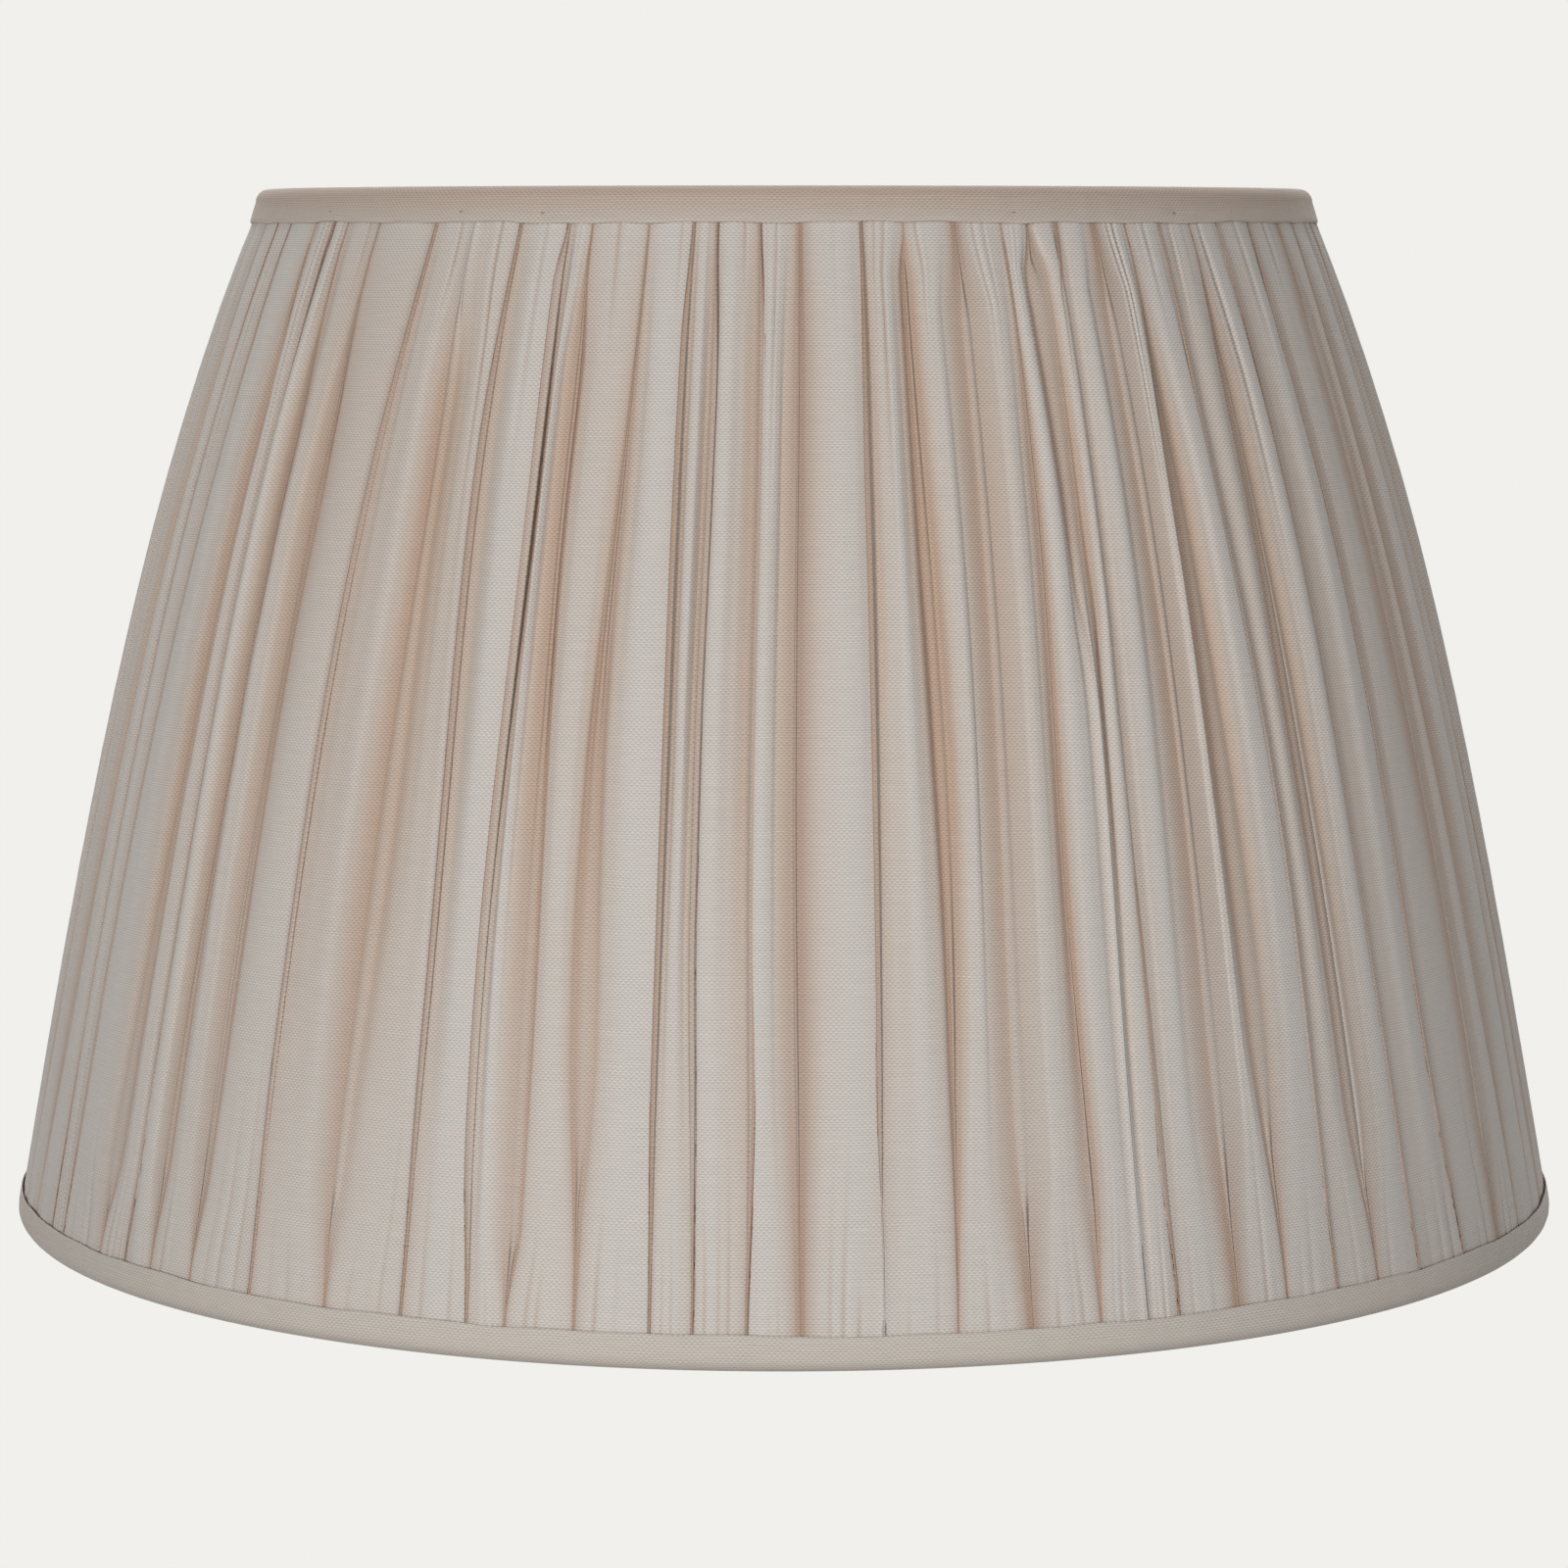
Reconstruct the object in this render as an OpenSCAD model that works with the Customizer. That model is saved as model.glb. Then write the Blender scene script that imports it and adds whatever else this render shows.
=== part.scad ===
// Gathered empire lamp shade: cloth over a bowed wire frame, with a reversible gimbal.
// Millimetres. +Z is up. The origin is the centre of the bottom rim, on the plane it stands on.
// The two gimbal pivots lie along X.

/* [Frame] */
// Diameter of the bottom ring, to the centre of its wire
bottom_ring_d = 450; // [400:1:560]
// Diameter of the top ring, to the centre of its wire
top_ring_d = 302; // [230:1:330]
// Height between the centres of the two ring wires
frame_h = 295; // [230:1:360]
// How far each strut bows outwards from a straight line
strut_bow = 5.5; // [2:0.5:12]
// Diameter of the ring wire
ring_wire_d = 3.2; // [2.8:0.1:4.2]
// Diameter of the strut wire, never more than the ring wire
strut_wire_d = 2.8; // [2:0.1:2.8]

/* [Gimbal] */
// Diameter of the hanger and carrier wire
gimbal_wire_d = 3; // [2.6:0.1:3.6]
// How far the pivots hang below the top ring
pivot_drop = 26; // [24:0.5:36]
// How far the fitter ring sits below the pivots
fitter_drop = 22; // [17:0.5:22]
// Diameter of the hole in the steel fitter ring
fitter_bore_d = 42; // [34:0.5:52]
// Width of the fitter ring's flat flange
fitter_flange_w = 10; // [8:0.5:13]
// Height of the fitter ring's turned rim
fitter_rim_h = 5; // [4:0.5:7]
// Thickness of the fitter ring's sheet steel
fitter_sheet_t = 1.2; // [1:0.1:1.5]
// Diameter of the hole in the plastic reducer ring
reducer_bore_d = 29; // [20:0.5:32]
// Thickness of the flattened eyes at the pivots
eye_t = 1.6; // [1.2:0.1:2]
// Diameter of the flattened eyes
eye_d = 10; // [8:0.5:12]
// Diameter of the pivot rivets
rivet_d = 4; // [3:0.1:5]

/* [Cloth] */
// Thickness of the cotton tape bound round the wires
tape_t = 0.4; // [0.3:0.05:0.6]
// Thickness of the lining cloth
lining_t = 0.4; // [0.3:0.05:0.6]
// Thickness of the gathers where the trim presses them flat
pressed_gather_t = 1.2; // [0.9:0.1:1.8]
// Depth of the gathers where they are deepest
gather_depth = 4.9; // [3:0.1:8]
// Thickness of the folded trim
trim_t = 0.7; // [0.5:0.05:1]
// Height of the trim seen from outside
trim_w = 9.6; // [8:0.1:14]
// How far the trim reaches down inside the rim
trim_inner_leg = 2.6; // [2:0.1:4]
// Thickness of the strips that neaten the lining round the hangers
neatening_t = 0.5; // [0.4:0.05:0.8]
// Height of those strips
neatening_h = 9; // [8:0.5:12]

/* [Hidden] */

strut_count = 8;
strut_step = 360 / strut_count;
wire_white = "whitesmoke";
tape_white = "snow";
lining_ivory = "ivory";
cover_oyster = [0.76, 0.72, 0.68];
trim_oyster = [0.70, 0.66, 0.63];
reducer_white = "white";
rivet_steel = "silver";
$fn = 96;

// Gap left between two layers of cloth, and between cloth and wire
ply_gap = 0.05;
// How far a welded wire sinks into the wire it is welded to
weld_sink = 0.4;
// Gap left between two cloth panels that meet on a strut
panel_gap = 0.2;
// Radial play of the carrier eyes on the rivets, and of the rivets in the hanger eyes
carrier_play = 0.06;
hanger_play = 0.02;
// Gap on each side of the carrier eye, between it and the hanger eye or the rivet's head
face_gap = 0.3;
// Gap between the hanger wire and the neatening strip looped round it
sling_play = 0.1;
// Gap between the trim's inner leg and the top of the neatening strip
strip_gap = 1.2;
// Room left on each side of the hanger wire where it passes the cloth
slot_room = 0.5;
// Steps in each curved stretch of an outline
curve_steps = 18;
cap_steps = 12;

ring_r = ring_wire_d / 2;
strut_r = strut_wire_d / 2;
gimbal_r = gimbal_wire_d / 2;

// Distances from a ring's centre to the middle or the face of each layer round it
tape_out = ring_r + ply_gap + tape_t;
lining_mid = tape_out + ply_gap + lining_t / 2;
lining_out = tape_out + ply_gap + lining_t;
cover_in = lining_out + ply_gap;
cover_pressed_out = cover_in + pressed_gather_t;
// The trim's bend spans the lining inside and the pressed gathers outside
bend_shift = (pressed_gather_t + ply_gap) / 2;
bend_mid = lining_out + ply_gap + bend_shift + trim_t / 2;
bend_out = bend_mid + trim_t / 2;

// The straight line between the rings, in the plane of radius and height
slope_len = norm([bottom_ring_d - top_ring_d, 2 * frame_h]) / 2;
up_slope = [(top_ring_d - bottom_ring_d) / 2, frame_h] / slope_len;
outward = [up_slope.y, -up_slope.x];
bottom_z = bend_out - outward.y * bend_shift;
bottom_at = [bottom_ring_d / 2, bottom_z];
top_at = [top_ring_d / 2, bottom_z + frame_h];

// The arc that every strut and the cover follow
arc_r = (pow(slope_len, 2) / 4 + pow(strut_bow, 2)) / (2 * strut_bow);
arc_centre = (bottom_at + top_at) / 2 - outward * (arc_r - strut_bow);
arc_start = atan2(bottom_at.y - arc_centre.y, bottom_at.x - arc_centre.x);
arc_end = atan2(top_at.y - arc_centre.y, top_at.x - arc_centre.x);
arc_len = arc_r * (arc_end - arc_start) * PI / 180;
// Shares of the arc that the two trims' outer legs cover, so that each trim shows trim_w of height
leg_mid = cover_pressed_out + ply_gap + trim_t / 2;
bottom_share = (trim_w - bottom_z - leg_mid * sin(arc_start)) / (arc_len * cos(arc_start));
top_share = (trim_w - bend_out - outward.y * bend_shift + leg_mid * sin(arc_end)) / (arc_len * cos(arc_end));

pivot_z = top_at.y - pivot_drop;
fitter_z = pivot_z - fitter_drop;
// The hanger's eye is beaten flush with the inner side of its wire; the carrier's wire is set in
// far enough to swing up past the hanger wire and the strip round it
hanger_x = top_at.x - ring_r - gimbal_r + weld_sink;
hanger_eye_x = hanger_x - gimbal_r + eye_t / 2;
carrier_eye_x = hanger_eye_x - eye_t - face_gap;
carrier_x = hanger_x - 2 * gimbal_r - sling_play - neatening_t - face_gap;
fitter_out_r = fitter_bore_d / 2 + fitter_flange_w;
fitter_top_z = fitter_z + fitter_rim_h / 2;
// Half the angle that the tape leaves free for a strut or hanger at a ring
function tape_half_gap(ring_d) = asin((gimbal_r + tape_t + slot_room) / (ring_d / 2));

// A point at share t of the arc, from bottom to top, and a distance outside it
function on_arc(t, out) =
    let (a = arc_start + (arc_end - arc_start) * t)
    arc_centre + (arc_r + out) * [cos(a), sin(a)];

// Depth of the gathers at share t of the arc: pressed under the trims, deepest above the middle
function depth_at(t) =
    let (s = min(max((t - bottom_share) / (1 - bottom_share - top_share), 0), 1))
    pressed_gather_t + (gather_depth - pressed_gather_t) * pow(max(sin(180 * pow(s, 1.9)), 0), 0.8);

// Points round a bend, from angle a to angle b
function bend(centre, r, a, b) =
    [for (i = [0 : cap_steps]) let (w = a + (b - a) * i / cap_steps) centre + r * [cos(w), sin(w)]];

function unit(v) = v / norm(v);
function left_of(v) = [-v.y, v.x];
// The direction square to a path at its point i
function path_normal(path, i) =
    let (before = path[max(i - 1, 0)], after = path[min(i + 1, len(path) - 1)])
    left_of(unit(after - before));
// The outline of cloth of thickness t laid along a path
function ply_outline(path, t) = concat(
    [for (i = [0 : len(path) - 1]) path[i] + path_normal(path, i) * t / 2],
    [for (i = [len(path) - 1 : -1 : 0]) path[i] - path_normal(path, i) * t / 2]);

module ring_wire(at) {
    rotate_extrude() translate(at) circle(r = ring_r);
}

module top_ring() {
    color(wire_white) ring_wire(top_at);
}

module bottom_ring() {
    color(wire_white) ring_wire(bottom_at);
}

// A round bar of radius r along the strut arc, between two shares of its length
module arc_bar(r, from, to) {
    start = arc_start + (arc_end - arc_start) * from;
    turn = (arc_end - arc_start) * (to - from);
    translate([arc_centre.x, 0, arc_centre.y]) rotate([90, 0, 0])
        rotate_extrude(angle = turn, start = start, $fn = 720) translate([arc_r, 0]) circle(r = r, $fn = 48);
}

module strut(i) {
    color(wire_white) rotate([0, 0, (i - 1) * strut_step]) difference() {
        arc_bar(strut_r, 0, 1);
        ring_wire(bottom_at);
        ring_wire(top_at);
    }
}

// Tape bound round a ring, in one length between each two struts
module ring_tape(at, ring_d) {
    gap = tape_half_gap(ring_d);
    color(tape_white) for (i = [0 : strut_count - 1])
        rotate_extrude(angle = strut_step - 2 * gap, start = i * strut_step + gap)
            translate(at) difference() {
                circle(r = tape_out);
                circle(r = ring_r + ply_gap);
            }
}

// Tape bound round the struts that the cover's panels are sewn to
module strut_tape(i) {
    end_room = 2 * tape_out / arc_len;
    color(tape_white) rotate([0, 0, (i - 1) * strut_step]) difference() {
        arc_bar(strut_r + ply_gap + tape_t, end_room, 1 - end_room);
        arc_bar(strut_r + ply_gap, 0, 1);
    }
}

// Room for the hanger wire where it passes through the edge of the cloth, down to where the
// sloping lining has drawn clear of it
module hanger_slots() {
    slot_w = gimbal_wire_d + 2 * slot_room;
    from_x = hanger_x - gimbal_wire_d;
    to_x = hanger_x + gimbal_r + slot_room;
    lining_x = top_at.x - lining_out / outward.x;
    slot_depth = (to_x - lining_x) * up_slope.y / abs(up_slope.x);
    for (turn = [0, 180])
        rotate([0, 0, turn]) translate([from_x, -slot_w / 2, top_at.y - slot_depth])
            cube([to_x - from_x, slot_w, slot_depth + gimbal_r]);
}

// The lining: straight between the rings, and turned over each of them to its outer side
lining_path = concat(
    bend(bottom_at, lining_mid, atan2(outward.y, outward.x), atan2(outward.y, outward.x) - 180),
    bend(top_at, lining_mid, atan2(outward.y, outward.x) + 180, atan2(outward.y, outward.x)));

module lining_half(start) {
    seam = asin(panel_gap / top_ring_d);
    color(lining_ivory) difference() {
        rotate_extrude(angle = 180 - 2 * seam, start = start + seam)
            polygon(ply_outline(lining_path, lining_t));
        hanger_slots();
    }
}

// The gathered cover, as the envelope that its folds fill
module cover_panel(start) {
    seam = asin(panel_gap / top_ring_d);
    inside = [for (i = [0 : curve_steps]) on_arc(i / curve_steps, cover_in)];
    outside = [for (i = [curve_steps : -1 : 0])
        on_arc(i / curve_steps, cover_in + depth_at(i / curve_steps))];
    top_pressed = on_arc(1 - top_share, cover_pressed_out);
    bottom_pressed = on_arc(bottom_share, cover_pressed_out);
    middle = [for (p = [1 : curve_steps - 1]) outside[p]];
    color(cover_oyster) rotate_extrude(angle = 90 - 2 * seam, start = start + seam)
        polygon(concat(inside, [outside[0], top_pressed], middle, [bottom_pressed, outside[curve_steps]]));
}

// The trim: a folded strip that caps the ring, with a long leg outside and a short one inside
function outer_leg(ts) = [for (t = ts) on_arc(t, leg_mid)];
function inner_leg(at, way) = at - outward * (lining_out + ply_gap + trim_t / 2) + up_slope * way * trim_inner_leg;

module trim_strip(path) {
    color(trim_oyster) difference() {
        rotate_extrude() polygon(ply_outline(path, trim_t));
        hanger_slots();
    }
}

module top_trim() {
    out_angle = atan2(outward.y, outward.x);
    trim_strip(concat(
        [inner_leg(top_at, -1)],
        bend(top_at + outward * bend_shift, bend_mid, out_angle + 180, arc_end),
        outer_leg([1 - top_share / 2, 1 - top_share])));
}

module bottom_trim() {
    out_angle = atan2(outward.y, outward.x);
    trim_strip(concat(
        outer_leg([bottom_share, bottom_share / 2]),
        bend(bottom_at + outward * bend_shift, bend_mid, arc_start, out_angle - 180),
        [inner_leg(bottom_at, 1)]));
}

// A folded strip looped round the hanger wire, which hides the slit in the lining and ends on its slope
module neatening_strip() {
    strip_top = top_at.y - trim_inner_leg - strip_gap;
    sling_r = gimbal_r + sling_play;
    reach = 4 * gimbal_wire_d;
    lining_face = top_at - outward * (lining_out + ply_gap);
    color(lining_ivory) difference() {
        translate([hanger_x, 0, strip_top - neatening_h]) linear_extrude(neatening_h) difference() {
            union() {
                circle(r = sling_r + neatening_t);
                translate([0, -sling_r - neatening_t]) square([reach, 2 * (sling_r + neatening_t)]);
            }
            circle(r = sling_r);
            translate([0, -sling_r]) square([reach + 1, 2 * sling_r]);
        }
        translate([lining_face.x, -reach, lining_face.y]) rotate([0, atan2(up_slope.x, up_slope.y), 0])
            translate([0, 0, -2 * neatening_h]) cube([2 * reach, 2 * reach, 2 * neatening_h]);
    }
}

// A wire's end, beaten flat into an eye of radius eye_r round a hole, in the plane x = 0; the wire leaves upwards
module flat_eye(hole_r) {
    eye_r = eye_d / 2;
    neck = 2.2 * eye_r;
    difference() {
        translate([-eye_t / 2, 0, 0]) rotate([90, 0, 90]) linear_extrude(eye_t) union() {
            circle(r = eye_r);
            polygon([[-eye_r * 0.9, eye_r * 0.4], [eye_r * 0.9, eye_r * 0.4],
                     [gimbal_r * 0.9, neck], [-gimbal_r * 0.9, neck]]);
        }
        rotate([0, 90, 0]) cylinder(h = 2 * eye_t, r = hole_r, center = true);
    }
}

module hanger() {
    wire_from = pivot_z + eye_d * 0.8;
    color(wire_white) difference() {
        union() {
            translate([hanger_eye_x, 0, pivot_z]) flat_eye(rivet_d / 2 + hanger_play);
            translate([hanger_x, 0, wire_from]) cylinder(h = top_at.y + gimbal_r / 2 - wire_from, r = gimbal_r);
        }
        ring_wire(top_at);
    }
}

// A rivet along X through both eyes, with a domed head at each end
module pivot_rivet() {
    head_r = rivet_d * 0.85;
    head_t = rivet_d * 0.3;
    inner_x = carrier_eye_x - eye_t / 2 - face_gap;
    outer_x = hanger_eye_x + eye_t / 2 + hanger_play;
    dome_r = (pow(head_r, 2) + pow(head_t, 2)) / (2 * head_t);
    shank_sink = 0.1;
    color(rivet_steel) translate([0, 0, pivot_z]) rotate([0, 90, 0]) union() {
        translate([0, 0, inner_x - shank_sink])
            cylinder(h = outer_x - inner_x + 2 * shank_sink, r = rivet_d / 2);
        intersection() {
            translate([0, 0, outer_x - dome_r + head_t]) sphere(r = dome_r);
            translate([0, 0, outer_x]) cylinder(h = head_t, r = head_r);
        }
        intersection() {
            translate([0, 0, inner_x + dome_r - head_t]) sphere(r = dome_r);
            translate([0, 0, inner_x - head_t]) cylinder(h = head_t, r = head_r);
        }
    }
}

// One side of the carrier: down from the eye, round a bend, and in to the fitter ring's rim
module carrier_arm() {
    elbow_r = 6;
    wire_top = pivot_z - eye_d * 0.8;
    color(wire_white) union() {
        translate([carrier_eye_x, 0, pivot_z]) mirror([0, 0, 1]) flat_eye(rivet_d / 2 + carrier_play);
        translate([carrier_x, 0, fitter_z + elbow_r])
            cylinder(h = wire_top - fitter_z - elbow_r, r = gimbal_r);
        translate([carrier_x - elbow_r, 0, fitter_z + elbow_r]) rotate([90, 0, 0])
            rotate_extrude(angle = 90, start = 270) translate([elbow_r, 0]) circle(r = gimbal_r);
        difference() {
            translate([fitter_out_r - weld_sink, 0, fitter_z]) rotate([0, 90, 0])
                cylinder(h = carrier_x - elbow_r - fitter_out_r + weld_sink, r = gimbal_r);
            cylinder(h = 2 * pivot_z, r = fitter_out_r);
        }
    }
}

// Pressed steel ring that a lampholder is clamped in
module fitter_ring() {
    color(wire_white) difference() {
        translate([0, 0, fitter_z - fitter_rim_h / 2]) cylinder(h = fitter_rim_h, r = fitter_out_r);
        translate([0, 0, fitter_z - fitter_rim_h]) cylinder(h = 2 * fitter_rim_h, r = fitter_bore_d / 2);
        translate([0, 0, fitter_z - fitter_rim_h])
            cylinder(h = 1.5 * fitter_rim_h - fitter_sheet_t, r = fitter_out_r - fitter_sheet_t);
    }
}

// Plastic ring pushed into the fitter ring, for the smaller size of lampholder
module reducer_ring() {
    flange_t = 1.5;
    flange_w = 5;
    spigot_play = 0.1;
    spigot_h = 2.2;
    color(reducer_white) difference() {
        union() {
            translate([0, 0, fitter_top_z]) cylinder(h = flange_t, r = fitter_bore_d / 2 + flange_w);
            translate([0, 0, fitter_top_z - spigot_h])
                cylinder(h = spigot_h + flange_t / 2, r = fitter_bore_d / 2 - spigot_play);
        }
        translate([0, 0, fitter_top_z - spigot_h - 1])
            cylinder(h = spigot_h + flange_t + 2, r = reducer_bore_d / 2);
    }
}

top_ring();
bottom_ring();
strut(1);  // strut_1
strut(2);  // strut_2
strut(3);  // strut_3
strut(4);  // strut_4
strut(5);  // strut_5
strut(6);  // strut_6
strut(7);  // strut_7
strut(8);  // strut_8
ring_tape(top_at, top_ring_d);  // top_ring_tape
ring_tape(bottom_at, bottom_ring_d);  // bottom_ring_tape
strut_tape(2);  // strut_tape_2
strut_tape(4);  // strut_tape_4
strut_tape(6);  // strut_tape_6
strut_tape(8);  // strut_tape_8
lining_half(180);  // lining_front
lining_half(0);  // lining_back
cover_panel(225);  // cover_front
cover_panel(-45);  // cover_right
cover_panel(45);  // cover_back
cover_panel(135);  // cover_left
top_trim();
bottom_trim();
neatening_strip();  // neatening_strip_right
rotate([0, 0, 180]) neatening_strip();  // neatening_strip_left
hanger();  // hanger_right
rotate([0, 0, 180]) hanger();  // hanger_left
pivot_rivet();  // pivot_rivet_right
rotate([0, 0, 180]) pivot_rivet();  // pivot_rivet_left
carrier_arm();  // carrier_arm_right
rotate([0, 0, 180]) carrier_arm();  // carrier_arm_left
fitter_ring();
reducer_ring();
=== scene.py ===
"""A gathered empire lamp shade, dressed in cloth on its wire frame. Lengths are worked in millimetres."""

import math

import bmesh
import bpy
import numpy as np
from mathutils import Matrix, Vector
from mathutils.bvhtree import BVHTree


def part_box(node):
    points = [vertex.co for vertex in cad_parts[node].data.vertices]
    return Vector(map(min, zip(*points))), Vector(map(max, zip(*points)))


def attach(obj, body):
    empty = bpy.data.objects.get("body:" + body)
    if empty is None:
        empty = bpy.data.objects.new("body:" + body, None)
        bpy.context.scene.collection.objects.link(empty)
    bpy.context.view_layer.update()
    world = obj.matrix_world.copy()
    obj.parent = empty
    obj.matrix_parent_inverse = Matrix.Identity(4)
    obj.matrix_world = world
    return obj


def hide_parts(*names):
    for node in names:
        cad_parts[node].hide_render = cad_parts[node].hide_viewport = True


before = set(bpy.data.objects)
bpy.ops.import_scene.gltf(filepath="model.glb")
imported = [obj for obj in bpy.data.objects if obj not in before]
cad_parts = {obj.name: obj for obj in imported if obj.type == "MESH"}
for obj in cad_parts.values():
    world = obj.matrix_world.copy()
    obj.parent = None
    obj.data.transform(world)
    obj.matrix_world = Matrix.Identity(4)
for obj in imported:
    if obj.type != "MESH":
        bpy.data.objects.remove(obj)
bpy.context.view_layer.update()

MM = 0.001
TURN = 2 * math.pi

# ------------------------------------------------------------------ the frame's own sizes


def wire_ring(node):
    """Radius to the wire's centre, height of the centre and radius of the wire, of a ring."""
    low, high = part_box(node)
    wire = (high[2] - low[2]) / 2 / MM
    return high[0] / MM - wire, (high[2] + low[2]) / 2 / MM, wire


def node_tree_of(node):
    """A CAD node's surface, for casting rays at."""
    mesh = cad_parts[node].data
    return BVHTree.FromPolygons([v.co for v in mesh.vertices], [p.vertices for p in mesh.polygons])


def radius_seen(tree, angle, height, from_inside):
    """Radius at which a ray along one angle first meets a surface, from the axis or from outside."""
    way = Vector((math.cos(angle), math.sin(angle), 0))
    base = Vector((0, 0, height * MM))
    start = base if from_inside else base + way
    hit = tree.ray_cast(start, way if from_inside else -way)[0]
    return None if hit is None else math.hypot(hit.x, hit.y) / MM


def wall_of(node, angle, count=60):
    """Heights, inner radii and outer radii of a shell, measured up one of its lines."""
    tree = node_tree_of(node)
    low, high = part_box(node)
    heights, inner, outer = [], [], []
    for z in np.linspace(low[2] / MM + 0.2, high[2] / MM - 0.2, count):
        a = radius_seen(tree, angle, z, True)
        b = radius_seen(tree, angle, z, False)
        if a and b:
            heights.append(z)
            inner.append(a)
            outer.append(b)
    return np.array(heights), np.array(inner), np.array(outer)


FRONT = -math.pi / 2
bottom_r, bottom_z, wire_r = wire_ring("bottom_ring")
top_r, top_z, _ = wire_ring("top_ring")
tape_r = (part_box("top_ring_tape")[1][2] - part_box("top_ring_tape")[0][2]) / 2 / MM
bottom_trim_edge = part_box("bottom_trim")[1][2] / MM
top_trim_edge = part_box("top_trim")[0][2] / MM

# ------------------------------------------------------------------ small tools for meshes


def wander(rng, count, share, cycles=2.0):
    """Smooth random curves over the shares of the height, one for each of count things, about -1 to 1."""
    total = np.zeros((count, len(share)))
    for k in (1, 2, 3):
        phase = rng.uniform(0, TURN, (count, 1))
        size = rng.normal(0, 1 / k, (count, 1))
        total += size * np.cos(TURN * cycles * k / 3 * share[None, :] + phase)
    return np.clip(total / 1.5, -1.2, 1.2)


def smooth(x):
    """An S-shaped step from 0 to 1."""
    x = np.clip(x, 0, 1)
    return x * x * (3 - 2 * x)


def sheet_mesh(name, points, uv_u, uv_v, closed=False, flip=False):
    """A mesh of quads from points[row][column]. uv_u holds, for each quad column, its left and right u."""
    rows, columns = points.shape[:2]
    quad_columns = columns if closed else columns - 1
    r, c = np.meshgrid(np.arange(rows - 1), np.arange(quad_columns), indexing="ij")
    c2 = (c + 1) % columns
    a, b, d, e = r * columns + c, r * columns + c2, (r + 1) * columns + c2, (r + 1) * columns + c
    quads = np.stack([a, b, d, e] if not flip else [a, e, d, b], axis=-1).reshape(-1, 4)
    mesh = bpy.data.meshes.new(name)
    mesh.vertices.add(rows * columns)
    mesh.vertices.foreach_set("co", (points.reshape(-1, 3) * MM).ravel())
    mesh.loops.add(quads.size)
    mesh.loops.foreach_set("vertex_index", quads.ravel().astype(np.int32))
    mesh.polygons.add(len(quads))
    mesh.polygons.foreach_set("loop_start", np.arange(0, quads.size, 4, dtype=np.int32))
    mesh.update(calc_edges=True)
    mesh.polygons.foreach_set("use_smooth", np.ones(len(quads), dtype=bool))
    left, right = uv_u[:, :, 0], uv_u[:, :, 1]
    u = [left[r, c], right[r, c], right[r + 1, c], left[r + 1, c]]
    v = [uv_v[r, c], uv_v[r, c2], uv_v[r + 1, c2], uv_v[r + 1, c]]
    order = [0, 1, 2, 3] if not flip else [0, 3, 2, 1]
    uv = np.stack([np.stack([u[k], v[k]], axis=-1) for k in order], axis=-2).reshape(-1, 2) * MM
    layer = mesh.uv_layers.new(name="cloth")
    layer.data.foreach_set("uv", uv.ravel().astype(np.float32))
    return mesh


def paint(mesh, name, values):
    """Stores one number for each vertex."""
    mesh.attributes.new(name, "FLOAT", "POINT").data.foreach_set("value", values.ravel().astype(np.float32))


def add_piece(name, mesh, material, thickness=None):
    """A piece at the origin, with its material and, for cloth, its thickness laid inwards."""
    piece = bpy.data.objects.new(name, mesh)
    bpy.context.scene.collection.objects.link(piece)
    mesh.materials.append(material)
    if thickness:
        solid = piece.modifiers.new("thickness", "SOLIDIFY")
        solid.thickness = thickness * MM
        solid.offset = -1
    return piece


# ------------------------------------------------------------------ materials


class Finish:
    """Builds one node material around a Principled shader."""

    def __init__(self, name, **settings):
        self.material = bpy.data.materials.new(name)
        self.material.use_nodes = True
        self.tree = self.material.node_tree
        self.shader = self.tree.nodes["Principled BSDF"]
        for socket, value in settings.items():
            self.shader.inputs[socket.replace("_", " ")].default_value = value

    def node(self, kind, **inputs):
        made = self.tree.nodes.new(kind)
        for key, value in inputs.items():
            self.put(made.inputs[int(key[1:]) if key[0] == "i" and key[1:].isdigit() else key], value)
        return made

    def put(self, socket, value):
        if isinstance(value, bpy.types.NodeSocket):
            self.tree.links.new(value, socket)
        else:
            socket.default_value = value

    def math(self, operation, a, b=0.0, c=0.0):
        made = self.node("ShaderNodeMath", i0=a, i1=b, i2=c)
        made.operation = operation
        return made.outputs[0]

    def mix(self, factor, a, b, blend="MIX"):
        made = self.tree.nodes.new("ShaderNodeMix")
        made.data_type = "RGBA"
        made.blend_type = blend
        self.put(made.inputs["Factor"], factor)
        self.put(made.inputs[6], a)
        self.put(made.inputs[7], b)
        return made.outputs[2]

    def attribute(self, name):
        made = self.tree.nodes.new("ShaderNodeAttribute")
        made.attribute_name = name
        return made.outputs["Fac"]

    def cloth_uv(self):
        """The cloth's own across and up coordinates, in millimetres."""
        source = self.tree.nodes.new("ShaderNodeUVMap")
        source.uv_map = "cloth"
        split = self.node("ShaderNodeSeparateXYZ", Vector=source.outputs["UV"])
        across = self.math("MULTIPLY", split.outputs["X"], 1 / MM)
        up = self.math("MULTIPLY", split.outputs["Y"], 1 / MM)
        return across, up

    def join(self, x, y, z=0.0):
        return self.node("ShaderNodeCombineXYZ", X=x, Y=y, Z=z).outputs[0]

    def noise(self, vector, scale, detail=2.0, roughness=0.5):
        made = self.node("ShaderNodeTexNoise", Vector=vector, Scale=scale, Detail=detail, Roughness=roughness)
        return made.outputs["Fac"]

    def wave(self, x, period):
        return self.math("SINE", self.math("MULTIPLY", x, TURN / period))

    def bump(self, height, distance, strength=1.0):
        made = self.node("ShaderNodeBump", Height=height, Distance=distance * MM, Strength=strength)
        self.put(self.shader.inputs["Normal"], made.outputs[0])


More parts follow.
